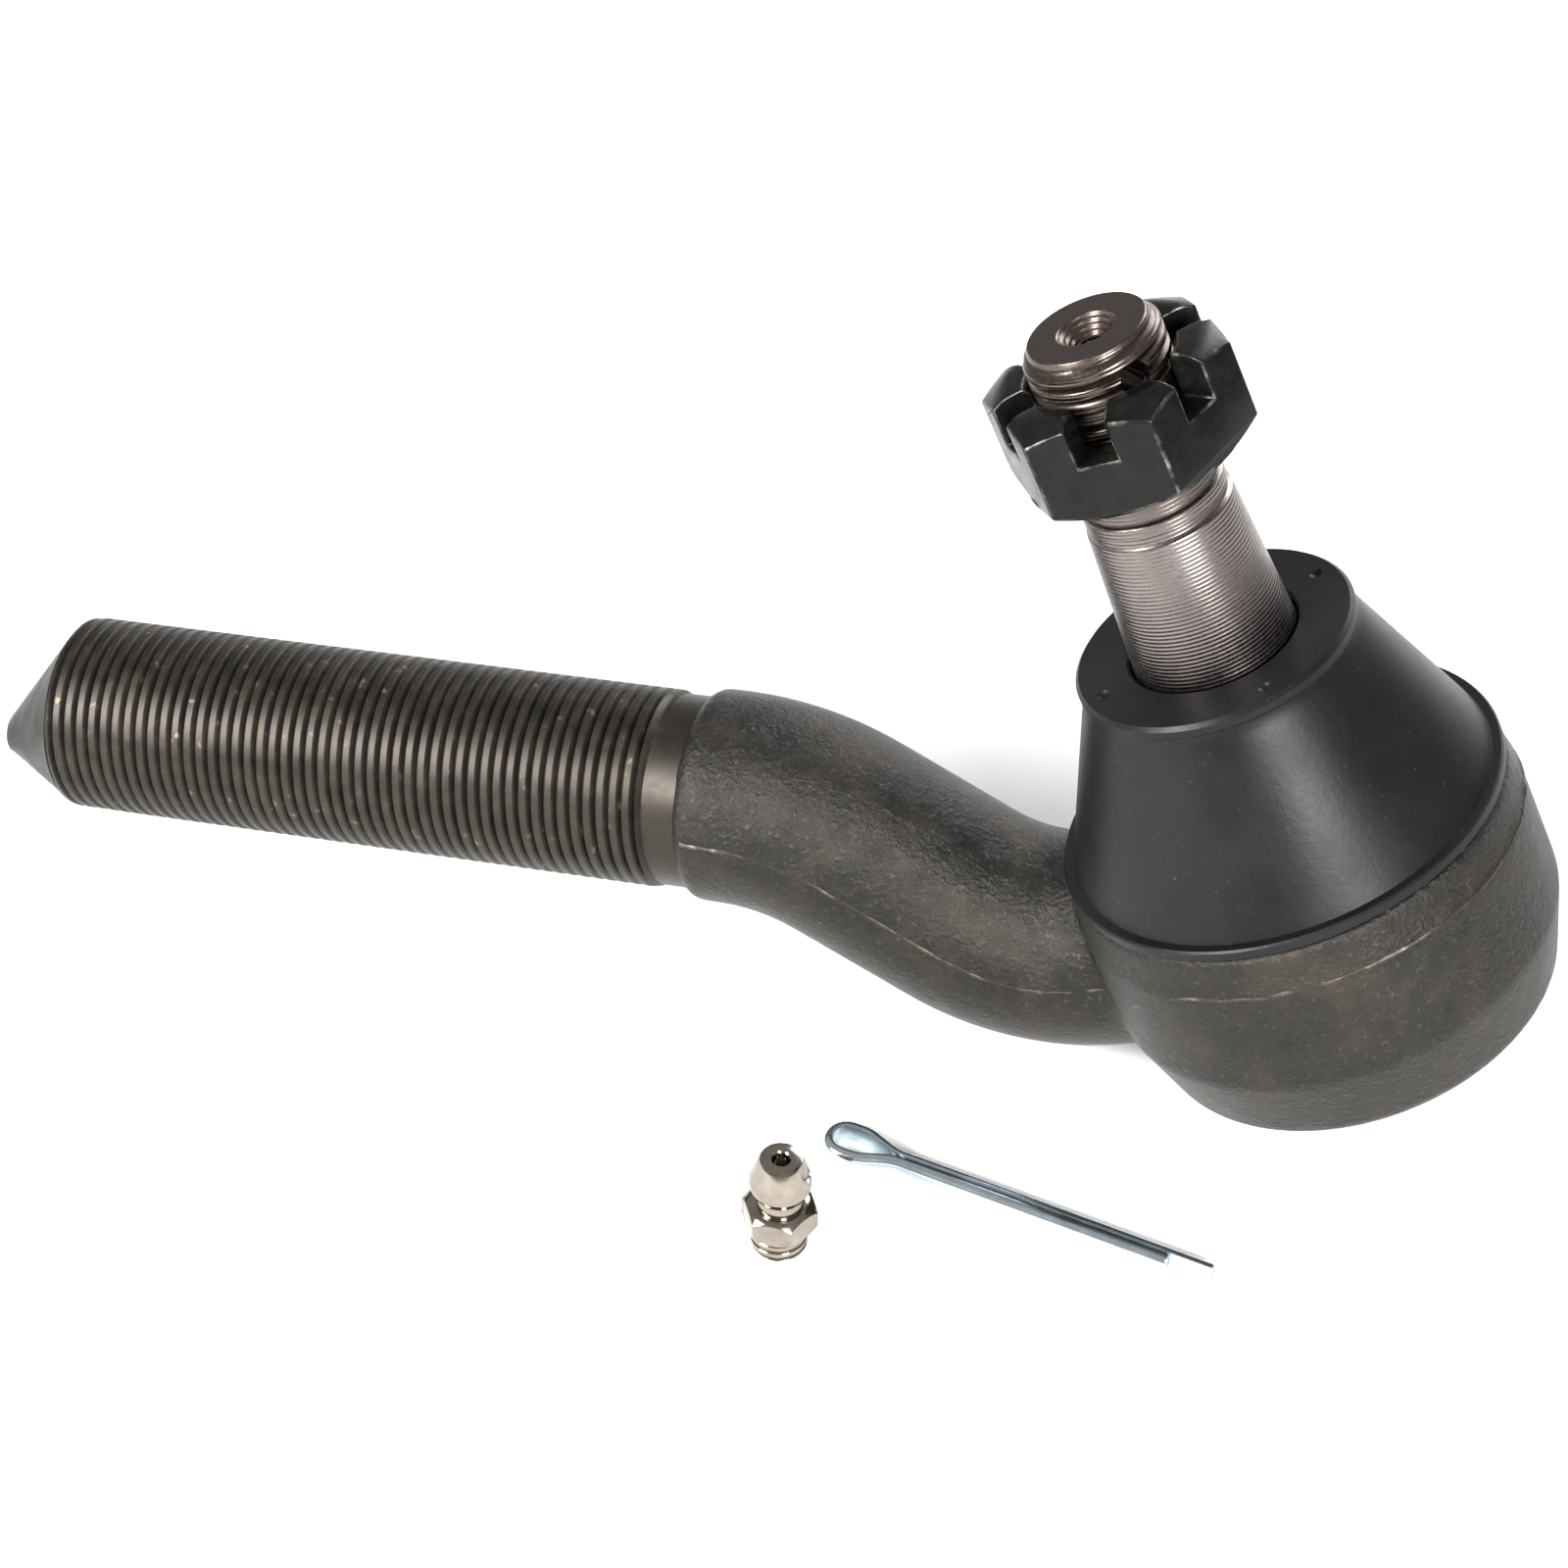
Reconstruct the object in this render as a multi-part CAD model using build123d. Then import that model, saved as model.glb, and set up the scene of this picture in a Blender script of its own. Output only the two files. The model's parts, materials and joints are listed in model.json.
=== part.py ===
from build123d import *
import os
from math import asin, atan2, cos, degrees, radians, sin, sqrt, tan

# Tie rod end: a forged body with a threaded shank, a half-ball socket, a tapered stud, a dust boot and
# a castle nut, with its split pin and grease nipple lying loose beside it as they are supplied.
#
# Lengths are in millimetres and angles in degrees. The joint is modelled in the socket's own frame:
# swing centre at the origin, +Z up the stud, the shank towards -X. The whole part is then laid on
# a table, where it rests on the underside of the arm's lower bend and on the free end of the shank.

# ---------------------------------------------------------------- driving sizes
# Shank: its axis lies in the plane Y = 0, and distances along it start below the swing centre
SHANK_D = 22.0              # major diameter of the M22 x 1.5 thread
SHANK_ANGLE = 17.4          # rise of the shank from the socket's face plane
SHANK_DROP = 1.6            # how far below the swing centre the shank's axis crosses the stud's
SHANK_END = 152.2
SHOULDER_RUN = 10.2         # from the corner of the arm's upper bend to the forging's end
COLLAR_LENGTH = 3.5         # plain stretch between the thread and the forging
COLLAR_DEPTH = 0.4          # below the thread's crests
POINT_D = 8.0               # flat at the end of the coned point
POINT_LENGTH = 9.0

# Arm: a round bar that drops from the shank to the socket in two bends
ARM_D = 23.4
ARM_SLOPE = 49.0            # slope of the dropping stretch
ARM_Z = -7.6                # height at which the arm meets the socket
ARM_FOOT = 34.2             # distance from the stud's axis to the lower bend's corner
ARM_UPPER_BEND = 24.0
ARM_LOWER_BEND = 20.0

# Socket housing
HOUSING_D = 48.4            # at its widest
HOUSING_WIDEST_Z = -9.5
PARTING_Z = 2.8             # height of the forging's parting line
PARTING_DRAFT = 0.1         # radius lost up to the parting line
HOUSING_TOP = 7.4
TOP_DRAFT = 0.8             # radius lost up to the top face
RIM_DRAFT = 2.5             # radius lost down to the lower rim
RIM_ROUND = 1.2

# Inside the socket
BALL_R = 12.0               # half-ball bearing
BALL_TOP = 8.0
BALL_BOTTOM = -1.0
RUNNING = 0.05              # radial running clearance
PRESS_GAP = 0.02            # gap drawn at a pressed-in ring
SEAT_WALL = 3.0             # upper seat, at its thinnest
SEAT_TOP = 5.4
SEAT_BOTTOM = -3.0
MOUTH_STEP = 0.53           # housing mouth beyond the half ball, at the seat's top
MOUTH_FLARE = 1.9
HEAD_STEP = 1.2             # how much smaller the stud's round head is than the half ball
HEAD_FLAT = 0.9             # cut off the bottom of the head
PRESSURE_SEAT_STEP = 1.2    # upper rim of the pressure seat inside the head's radius
PRESSURE_SEAT_DEPTH = 3.6   # from the bottom of the head's sphere up to that rim
PRESSURE_SEAT_FLANGE = 1.8
PRESSURE_SEAT_T = 1.6       # under the head's sphere
GREASE_WAY_D = 4.0
SPRING_HEIGHT = 3.0         # coned spring washer, as fitted
SPRING_T = 1.3
SPRING_CLEAR = 2.55         # round the spring's rim
SPRING_INNER_D = 10.0
PLATE_T = 2.2
PLATE_OVERLAP = 1.8         # how far the closing plate's rim is trapped in the housing
LIP_T = 1.4                 # rolled lip under the closing plate
BOSS_D = 10.4
BOSS_HEIGHT = 3.5

# Stud
JOURNAL_D = 13.0
NECK_STEP = 0.5625          # radius of the neck below the large end of the taper
NECK_START = 10.5           # top of the journal
NECK_FULL = 14.0
TAPER_START = 26.0
TAPER_END = 46.2
TAPER_STEP = 0.5            # radius of the taper's small end over the thread
TAPER_RATE = 1.0 / 8.0      # change of diameter along the taper
STUD_THREAD_D = 14.0        # M14 x 1.5
RELIEF_DEPTH = 0.1          # below the thread's crests
RELIEF_STEP = 0.6
STUD_THREAD_START = 52.0
STUD_END = 67.2
STUD_CHAMFER = 0.8
CENTRE_DRILL_D = 6.0
CENTRE_DRILL_DEPTH = 2.2
CROSS_HOLE_D = 3.2
CROSS_HOLE_Z = 63.55
CROSS_HOLE_ANGLE = -42.6    # direction of the cross hole about the stud

# Castle nut
NUT_AF = 22.0
NUT_HEIGHT = 10.7
NUT_Z = 52.8                # underside, with the nut part of the way on
NUT_ANGLE = -83.9           # direction of one flat about the stud
NUT_FACE_STEP = 0.1         # round face left by the chamfer, inside the flats
NUT_CHAMFER_ANGLE = 30.0
SLOT_WIDTH = 4.0
SLOT_DEPTH = 4.75

# Dust boot
BOOT_TOP = 30.0
BOOT_LIP_D = 29.2           # top plate, which overhangs the cone
BOOT_LIP_T = 1.4
BOOT_CONE_TOP_D = 28.2
BOOT_RIM_OVERHANG = 0.1     # beyond the housing's top edge
BOOT_RIM_WIDTH = 1.1
BOOT_RIM_T = 1.3
BOOT_WALL = 2.2
BOOT_PLATE_T = 3.0
BOOT_GAP = 0.3              # round the stud
BOOT_SEAT_GAP = 0.05        # above the housing

# Split pin, lying flat: X is along the pin from the outside of its eye, Y across it
PIN_D = 2.3
PIN_GAP = 0.2               # between the two flats
PIN_LONG = 44.0
PIN_SHORT = 39.3
PIN_EYE_WIDTH = 5.4
PIN_EYE_BACK = 4.4          # where the eye starts to close
PIN_EYE_CLOSED = 8.0        # where it has closed
PIN_EYE_BEND = 1.45
PIN_CLOSING_BEND = 3.0
PIN_LEG_BEND = 6.0
PIN_X = -43.2               # place and direction on the table, from the swing centre
PIN_Y = -26.7
PIN_ANGLE = -7.4

# Grease nipple, standing on its threaded end
NIPPLE_HEIGHT = 13.2
NIPPLE_THREAD_D = 6.0       # M6 x 1
NIPPLE_PITCH = 1.0
NIPPLE_THREAD_LENGTH = 3.4
NIPPLE_UNDERCUT = 0.6
NIPPLE_UNDERCUT_DEPTH = 0.55
NIPPLE_HEX_AF = 7.0
NIPPLE_HEX_TOP = 6.6
NIPPLE_HEX_CHAMFER = 0.6
NIPPLE_NECK_D = 4.7
NIPPLE_NECK_Z = 8.0
NIPPLE_HEAD_D = 6.5
NIPPLE_HEAD_LOW = 9.3
NIPPLE_HEAD_HIGH = 10.4
NIPPLE_FACE_D = 4.4
NIPPLE_BORE_D = 3.0
NIPPLE_PORT_D = 1.8
NIPPLE_WALL = 0.8           # lip that holds the spring in
NIPPLE_FACE_T = 1.9         # metal between the check ball and the face
CHECK_BALL_PLAY = 0.4       # of the ball in its bore
CHECK_BALL_GAP = 0.03
VALVE_WIRE_D = 0.36
VALVE_SPRING_PLAY = 0.5     # of the spring in its bore
VALVE_COILS = 6
NIPPLE_X = -43.5
NIPPLE_Y = -41.5
NIPPLE_TURN = 4.0

# ---------------------------------------------------------------- derived places
SHANK_R = SHANK_D / 2
SHANK_RISE = tan(radians(SHANK_ANGLE))
ARM_R = ARM_D / 2
ARM_DROP = tan(radians(ARM_SLOPE))
KNEE_X = (ARM_Z - ARM_DROP * ARM_FOOT + SHANK_DROP) / (ARM_DROP - SHANK_RISE)
SHOULDER = SHOULDER_RUN - KNEE_X / cos(radians(SHANK_ANGLE))
SHANK_THREAD_START = SHOULDER + COLLAR_LENGTH
HOUSING_TOP_R = HOUSING_D / 2 - TOP_DRAFT
SOCKET_BORE_R = BALL_R + RUNNING + SEAT_WALL
MOUTH_R = sqrt((BALL_R + RUNNING) ** 2 - SEAT_TOP ** 2) + MOUTH_STEP
HEAD_R = BALL_R - HEAD_STEP
HEAD_BOTTOM = HEAD_FLAT - HEAD_R
PRESSURE_SEAT_BOTTOM = -HEAD_R - PRESSURE_SEAT_T
SPRING_BOTTOM = PRESSURE_SEAT_BOTTOM - SPRING_HEIGHT
PLATE_BOTTOM = SPRING_BOTTOM - PLATE_T
HOUSING_BOTTOM = PLATE_BOTTOM - LIP_T
PLATE_POCKET_R = SOCKET_BORE_R + PLATE_OVERLAP
TAPER_SMALL_D = STUD_THREAD_D + 2 * TAPER_STEP
TAPER_LARGE_D = TAPER_SMALL_D + (TAPER_END - TAPER_START) * TAPER_RATE
CHECK_BALL_R = (NIPPLE_BORE_D - CHECK_BALL_PLAY) / 2
SHANK_ALONG = Vector(-cos(radians(SHANK_ANGLE)), 0, sin(radians(SHANK_ANGLE)))
SHANK_ROOT = Vector(0, 0, -SHANK_DROP)
OVERCUT = 5.0               # how far a cutting tool runs past the solid


def turned(outline):
    """Solid turned about Z from an outline of (radius, height) points."""
    points = [Vector(radius, 0, height) for radius, height in outline]
    return revolve(make_face(Polyline(*points, close=True)), Axis.Z)


def shank_point(distance):
    """Point on the shank's axis at a distance from the stud's axis."""
    return SHANK_ROOT + SHANK_ALONG * distance


# ---------------------------------------------------------------- forged body
def shank():
    """Threaded shank with its coned point, along its own axis."""
    start = SHOULDER - ARM_R
    collar_r = SHANK_R - COLLAR_DEPTH
    bar = turned([
        (0, start), (collar_r, start), (collar_r, SHANK_THREAD_START),
        (SHANK_R, SHANK_THREAD_START), (SHANK_R, SHANK_END - POINT_LENGTH),
        (POINT_D / 2, SHANK_END), (0, SHANK_END),
    ])
    along = Plane(origin=SHANK_ROOT, x_dir=(0, 1, 0), z_dir=SHANK_ALONG)
    return along.location * bar


def arm():
    """Round bar swept along the two bends, from the shoulder into the socket."""
    knee = Vector(KNEE_X, 0, -SHANK_DROP - SHANK_RISE * KNEE_X)
    foot = Vector(-ARM_FOOT, 0, ARM_Z)
    path = FilletPolyline(
        shank_point(SHOULDER), knee, foot, Vector(0, 0, ARM_Z),
        radius=[ARM_UPPER_BEND, ARM_LOWER_BEND],
    )
    section = Plane(origin=path @ 0, z_dir=path % 0) * Circle(ARM_R)
    return sweep(section, path=path)


def housing_shell():
    """Outside of the socket housing, solid."""
    widest_r = HOUSING_D / 2
    rim_r = widest_r - RIM_DRAFT
    return turned([
        (0, HOUSING_BOTTOM), (rim_r - RIM_ROUND, HOUSING_BOTTOM), (rim_r, HOUSING_BOTTOM + RIM_ROUND),
        (widest_r, HOUSING_WIDEST_Z), (widest_r - PARTING_DRAFT, PARTING_Z),
        (HOUSING_TOP_R, HOUSING_TOP), (0, HOUSING_TOP),
    ])


def socket_cavity():
    """Space cut out of the housing: plate pocket, bore and mouth."""
    lip_r = PLATE_POCKET_R - PLATE_OVERLAP
    mouth_top_r = MOUTH_R + MOUTH_FLARE
    return turned([
        (0, HOUSING_BOTTOM - OVERCUT), (lip_r, HOUSING_BOTTOM - OVERCUT), (lip_r, PLATE_BOTTOM),
        (PLATE_POCKET_R, PLATE_BOTTOM), (PLATE_POCKET_R, SPRING_BOTTOM),
        (SOCKET_BORE_R, SPRING_BOTTOM), (SOCKET_BORE_R, SEAT_TOP), (MOUTH_R, SEAT_TOP),
        (mouth_top_r, HOUSING_TOP), (mouth_top_r, HOUSING_TOP + OVERCUT),
        (0, HOUSING_TOP + OVERCUT),
    ])


def tie_rod_body():
    return shank() + arm() + housing_shell() - socket_cavity()


# ---------------------------------------------------------------- inside the socket
def upper_bearing_seat():
    """Pressed-in ring whose hollow zone holds the half ball."""
    outer = SOCKET_BORE_R - PRESS_GAP
    ring = turned([(0, SEAT_BOTTOM), (outer, SEAT_BOTTOM), (outer, SEAT_TOP), (0, SEAT_TOP)])
    return ring - Sphere(BALL_R + RUNNING)


def half_ball_bearing():
    """Zone of a ball, bored for the stud's journal."""
    bore_r = JOURNAL_D / 2 + RUNNING
    reach = BALL_R + OVERCUT
    zone = turned([(bore_r, BALL_BOTTOM), (reach, BALL_BOTTOM), (reach, BALL_TOP), (bore_r, BALL_TOP)])
    return Sphere(BALL_R) & zone


def pressure_seat():
    """Hollow seat that the spring presses against the stud's head."""
    flange_top = PRESSURE_SEAT_BOTTOM + PRESSURE_SEAT_FLANGE
    flange_r = SOCKET_BORE_R - 2 * RUNNING
    rim_r = HEAD_R - PRESSURE_SEAT_STEP
    rim_top = PRESSURE_SEAT_DEPTH - HEAD_R
    way_r = GREASE_WAY_D / 2
    cup = turned([
        (way_r, PRESSURE_SEAT_BOTTOM), (flange_r, PRESSURE_SEAT_BOTTOM), (flange_r, flange_top),
        (rim_r, flange_top), (rim_r, rim_top), (way_r, rim_top),
    ])
    return cup - Sphere(HEAD_R + RUNNING)


def preload_spring():
    """Coned spring washer between the pressure seat and the closing plate."""
    outer_r = SOCKET_BORE_R - SPRING_CLEAR
    inner_r = SPRING_INNER_D / 2
    return turned([
        (inner_r, PRESSURE_SEAT_BOTTOM - SPRING_T), (outer_r, SPRING_BOTTOM),
        (outer_r, SPRING_BOTTOM + SPRING_T), (inner_r, PRESSURE_SEAT_BOTTOM),
    ])


def closing_plate():
    """Plate under the socket with a tapped boss for the grease nipple."""
    rim_r = PLATE_POCKET_R - PRESS_GAP
    tap_r = (NIPPLE_THREAD_D - NIPPLE_PITCH) / 2
    boss_end = PLATE_BOTTOM - BOSS_HEIGHT
    return turned([
        (tap_r, SPRING_BOTTOM), (rim_r, SPRING_BOTTOM), (rim_r, PLATE_BOTTOM),
        (BOSS_D / 2, PLATE_BOTTOM), (BOSS_D / 2, boss_end), (tap_r, boss_end),
    ])


# ---------------------------------------------------------------- stud, nut and boot
def ball_stud():
    """Tapered stud with its round head, relief, thread, centre drilling and cross hole."""
    head_top = BALL_BOTTOM - RUNNING
    reach = HEAD_R + OVERCUT
    slab = turned([(0, HEAD_BOTTOM), (reach, HEAD_BOTTOM), (reach, head_top), (0, head_top)])
    head = Sphere(HEAD_R) & slab
    journal_r = JOURNAL_D / 2
    neck_r = TAPER_LARGE_D / 2 - NECK_STEP
    thread_r = STUD_THREAD_D / 2
    relief_r = thread_r - RELIEF_DEPTH
    shaft = turned([
        (0, HEAD_BOTTOM / 2), (journal_r, HEAD_BOTTOM / 2), (journal_r, NECK_START),
        (neck_r, NECK_FULL), (neck_r, TAPER_START - 2 * NECK_STEP),
        (TAPER_LARGE_D / 2, TAPER_START), (TAPER_SMALL_D / 2, TAPER_END),
        (relief_r, TAPER_END + RELIEF_STEP), (relief_r, STUD_THREAD_START),
        (thread_r, STUD_THREAD_START + RELIEF_DEPTH), (thread_r, STUD_END - STUD_CHAMFER),
        (thread_r - STUD_CHAMFER, STUD_END), (CENTRE_DRILL_D / 2, STUD_END),
        (0, STUD_END - CENTRE_DRILL_DEPTH),
    ])
    hole = Pos(0, 0, CROSS_HOLE_Z) * Rot(0, 0, CROSS_HOLE_ANGLE) * Rot(0, 90, 0) * Cylinder(
        CROSS_HOLE_D / 2, STUD_THREAD_D + OVERCUT)
    return head + shaft - hole


def castle_nut():
    """Slotted hexagon nut with a slot across every pair of flats."""
    hexagon = RegularPolygon(NUT_AF / 2, 6, major_radius=False, rotation=NUT_ANGLE + 30)
    prism = extrude(hexagon, NUT_HEIGHT)
    corner_r = NUT_AF / sqrt(3) + RUNNING
    face_r = NUT_AF / 2 - NUT_FACE_STEP
    chamfer = (corner_r - face_r) * tan(radians(NUT_CHAMFER_ANGLE))
    turned_blank = turned([
        (0, 0), (face_r, 0), (corner_r, chamfer), (corner_r, NUT_HEIGHT - chamfer),
        (face_r, NUT_HEIGHT), (0, NUT_HEIGHT),
    ])
    nut = prism & turned_blank
    nut -= Cylinder(STUD_THREAD_D / 2 + RUNNING, 4 * NUT_HEIGHT)
    for third in range(3):
        slot = Pos(0, 0, NUT_HEIGHT) * Box(2 * NUT_AF, SLOT_WIDTH, 2 * SLOT_DEPTH)
        nut -= Rot(0, 0, NUT_ANGLE + 60 * third) * slot
    return Pos(0, 0, NUT_Z) * nut


def dust_boot():
    """Moulded rubber cone with a thick top plate that hugs the stud."""
    foot = HOUSING_TOP + BOOT_SEAT_GAP
    rim_top = foot + BOOT_RIM_T
    lip_under = BOOT_TOP - BOOT_LIP_T
    plate_under = BOOT_TOP - BOOT_PLATE_T
    taper_r = (TAPER_LARGE_D - (plate_under - TAPER_START) * TAPER_RATE) / 2
    hole_r = taper_r + BOOT_GAP
    rim_r = HOUSING_TOP_R + BOOT_RIM_OVERHANG
    foot_r = rim_r - BOOT_RIM_WIDTH
    top_r = BOOT_CONE_TOP_D / 2
    slope = (foot_r - top_r) / (lip_under - rim_top)
    inner_top_r = top_r + slope * (lip_under - plate_under) - BOOT_WALL
    inner_foot_r = foot_r - BOOT_WALL
    return turned([
        (hole_r, BOOT_TOP), (BOOT_LIP_D / 2, BOOT_TOP), (BOOT_LIP_D / 2, lip_under),
        (top_r, lip_under), (foot_r, rim_top), (rim_r, rim_top), (rim_r, foot),
        (inner_foot_r, foot), (inner_foot_r, rim_top), (inner_top_r, plate_under), (hole_r, plate_under),
    ])


# ---------------------------------------------------------------- loose pieces, in the table's frame
def cotter_pin():
    """Half-round wire bent into an eye with two legs side by side."""
    wire_r = PIN_D / 2
    leg = PIN_GAP / 2
    eye = PIN_EYE_WIDTH / 2 - wire_r
    path = FilletPolyline(
        (PIN_LONG, leg), (PIN_EYE_CLOSED, leg), (PIN_EYE_BACK, eye), (wire_r, eye),
        (wire_r, -eye), (PIN_EYE_BACK, -eye), (PIN_EYE_CLOSED, -leg), (PIN_SHORT, -leg),
        radius=[PIN_LEG_BEND, PIN_CLOSING_BEND, PIN_EYE_BEND, PIN_EYE_BEND, PIN_CLOSING_BEND, PIN_LEG_BEND],
    )
    half_round = Circle(wire_r) & Pos(wire_r, 0) * Rectangle(PIN_D, 2 * PIN_D)
    section = Plane(origin=path @ 0, x_dir=(0, 1, 0), z_dir=path % 0) * half_round
    wire = sweep(section, path=path)
    return Pos(PIN_X, PIN_Y, wire_r) * Rot(0, 0, PIN_ANGLE) * wire


def grease_nipple():
    """Nipple with its threaded end down, bored for the check ball and its spring."""
    thread_r = NIPPLE_THREAD_D / 2
    hex_corner = NIPPLE_HEX_AF / sqrt(3)
    hex_foot = NIPPLE_THREAD_LENGTH
    undercut_r = thread_r - NIPPLE_UNDERCUT_DEPTH
    bore_top = NIPPLE_HEIGHT - NIPPLE_FACE_T
    outside = turned([
        (0, 0), (thread_r - 0.5 * NIPPLE_UNDERCUT, 0), (thread_r, 0.5 * NIPPLE_UNDERCUT),
        (thread_r, hex_foot - NIPPLE_UNDERCUT), (undercut_r, hex_foot - NIPPLE_UNDERCUT),
        (undercut_r, hex_foot), (hex_corner - NIPPLE_HEX_CHAMFER, hex_foot),
        (hex_corner, hex_foot + NIPPLE_HEX_CHAMFER), (hex_corner, NIPPLE_HEX_TOP - NIPPLE_HEX_CHAMFER),
        (hex_corner - 2 * NIPPLE_HEX_CHAMFER, NIPPLE_HEX_TOP), (NIPPLE_NECK_D / 2, NIPPLE_NECK_Z),
        (NIPPLE_HEAD_D / 2, NIPPLE_HEAD_LOW), (NIPPLE_HEAD_D / 2, NIPPLE_HEAD_HIGH),
        (NIPPLE_FACE_D / 2, NIPPLE_HEIGHT), (0, NIPPLE_HEIGHT),
    ])
    hexagon = extrude(RegularPolygon(NIPPLE_HEX_AF / 2, 6, major_radius=False), NIPPLE_HEIGHT)
    bore = turned([
        (0, -1), (NIPPLE_PORT_D / 2, -1), (NIPPLE_PORT_D / 2, NIPPLE_WALL), (NIPPLE_BORE_D / 2, NIPPLE_WALL),
        (NIPPLE_BORE_D / 2, bore_top), (NIPPLE_PORT_D / 2, bore_top),
        (NIPPLE_PORT_D / 2, NIPPLE_HEIGHT + 1), (0, NIPPLE_HEIGHT + 1),
    ])
    return Pos(NIPPLE_X, NIPPLE_Y, 0) * Rot(0, 0, NIPPLE_TURN) * (outside & hexagon - bore)


def check_ball_height():
    """Height of the check ball's centre, closed against the port's edge."""
    reach = sqrt(CHECK_BALL_R ** 2 - (NIPPLE_PORT_D / 2) ** 2)
    return NIPPLE_HEIGHT - NIPPLE_FACE_T - reach - CHECK_BALL_GAP


def check_ball():
    return Pos(NIPPLE_X, NIPPLE_Y, check_ball_height()) * Sphere(CHECK_BALL_R)


def valve_spring():
    """Coil spring under the check ball."""
    wire_r = VALVE_WIRE_D / 2
    foot = NIPPLE_WALL + wire_r + CHECK_BALL_GAP
    top = check_ball_height() - CHECK_BALL_R - wire_r
    coil_r = (NIPPLE_BORE_D - VALVE_SPRING_PLAY) / 2 - wire_r
    path = Helix(pitch=(top - foot) / VALVE_COILS, height=top - foot, radius=coil_r)
    section = Plane(origin=path @ 0, z_dir=path % 0) * Circle(wire_r)
    return Pos(NIPPLE_X, NIPPLE_Y, foot) * sweep(section, path=path, is_frenet=True)


# ---------------------------------------------------------------- laying the part on the table
def table_tilt():
    """Lean of the stud's axis when the arm's lower bend and the shank's end both touch the table."""
    angle = radians(SHANK_ANGLE)
    last = shank_point(SHANK_END - POINT_LENGTH)
    shank_foot = last - Vector(sin(angle), 0, cos(angle)) * SHANK_R
    bend_run = ARM_LOWER_BEND * tan(radians(ARM_SLOPE / 2))
    bend_centre = Vector(bend_run - ARM_FOOT, 0, ARM_Z + ARM_LOWER_BEND)
    reach = bend_centre - shank_foot
    return degrees(asin((ARM_LOWER_BEND + ARM_R) / reach.length) - atan2(reach.Z, reach.X))


jointed = {
    "tie_rod_body": tie_rod_body(),
    "upper_bearing_seat": upper_bearing_seat(),
    "half_ball_bearing": half_ball_bearing(),
    "ball_stud": ball_stud(),
    "pressure_seat": pressure_seat(),
    "preload_spring": preload_spring(),
    "closing_plate": closing_plate(),
    "dust_boot": dust_boot(),
    "castle_nut": castle_nut(),
}
loose = {
    "cotter_pin": cotter_pin(),
    "grease_nipple": grease_nipple(),
    "check_ball": check_ball(),
    "valve_spring": valve_spring(),
}
leaning = Rot(0, -table_tilt(), 0)
swing_height = -(leaning * jointed["tie_rod_body"]).bounding_box().min.Z
nodes = {name: Pos(0, 0, swing_height) * leaning * solid for name, solid in jointed.items()}
nodes.update(loose)

# The origin is under the middle of the whole part's box
boxes = [solid.bounding_box() for solid in nodes.values()]
middle_x = (min(box.min.X for box in boxes) + max(box.max.X for box in boxes)) / 2
middle_y = (min(box.min.Y for box in boxes) + max(box.max.Y for box in boxes)) / 2
centring = Pos(-middle_x, -middle_y, 0)
joint_frame = centring * Pos(0, 0, swing_height) * leaning

os.makedirs("parts", exist_ok=True)
for name, solid in nodes.items():
    export_step((centring * solid).solid(), f"parts/{name}.step")
print("stud leans", round(table_tilt(), 3), "swing centre", joint_frame.position)
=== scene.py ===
"""Tie rod end with its castle nut, split pin and grease nipple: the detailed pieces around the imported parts."""

import json
from math import ceil, cos, pi, radians, sin, sqrt, tan

import bmesh
import bpy
from mathutils import Matrix, Vector, noise


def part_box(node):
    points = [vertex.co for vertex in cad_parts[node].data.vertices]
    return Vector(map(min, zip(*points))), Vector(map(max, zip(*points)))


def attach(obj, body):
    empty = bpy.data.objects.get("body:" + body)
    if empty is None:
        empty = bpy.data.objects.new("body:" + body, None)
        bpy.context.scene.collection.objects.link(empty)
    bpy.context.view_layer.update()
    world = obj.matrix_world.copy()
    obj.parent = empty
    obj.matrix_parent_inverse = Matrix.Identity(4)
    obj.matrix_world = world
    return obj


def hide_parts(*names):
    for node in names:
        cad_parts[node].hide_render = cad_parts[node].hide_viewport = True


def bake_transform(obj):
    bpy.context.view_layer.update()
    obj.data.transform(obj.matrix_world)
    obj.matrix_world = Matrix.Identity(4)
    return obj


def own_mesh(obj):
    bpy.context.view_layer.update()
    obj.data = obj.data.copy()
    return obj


bl_info = {
    "name": "Tie Rod End",
    "version": (1, 0, 0),
    "blender": (4, 5, 0),
    "location": "View3D > Sidebar > Tie Rod End",
    "description": "Builds the detailed pieces of a tie rod end around its packed parts",
    "category": "Add Mesh",
}

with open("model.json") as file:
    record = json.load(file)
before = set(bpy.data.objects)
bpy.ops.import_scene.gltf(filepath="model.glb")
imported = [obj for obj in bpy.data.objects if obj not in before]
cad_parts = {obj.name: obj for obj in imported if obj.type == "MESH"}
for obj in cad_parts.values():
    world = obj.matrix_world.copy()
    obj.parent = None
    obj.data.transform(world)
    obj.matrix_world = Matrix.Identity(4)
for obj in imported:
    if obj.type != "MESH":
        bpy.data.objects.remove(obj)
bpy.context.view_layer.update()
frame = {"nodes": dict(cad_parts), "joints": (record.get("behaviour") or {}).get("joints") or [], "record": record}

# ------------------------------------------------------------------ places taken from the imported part
joints = {joint["name"]: joint for joint in frame["joints"]}
mounts = {mount["name"]: mount for mount in frame["record"]["mounts"]}
swing_centre = Vector(joints["swing_along"]["pos_m"])
stud_up = Vector(joints["stud_spin"]["axis"]).normalized()
across = Vector(joints["swing_along"]["axis"]).normalized()
shank_middle = Vector(mounts["shank_thread"]["pos_m"])
shank_out = Vector(mounts["shank_thread"]["axis"]).normalized()
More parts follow.
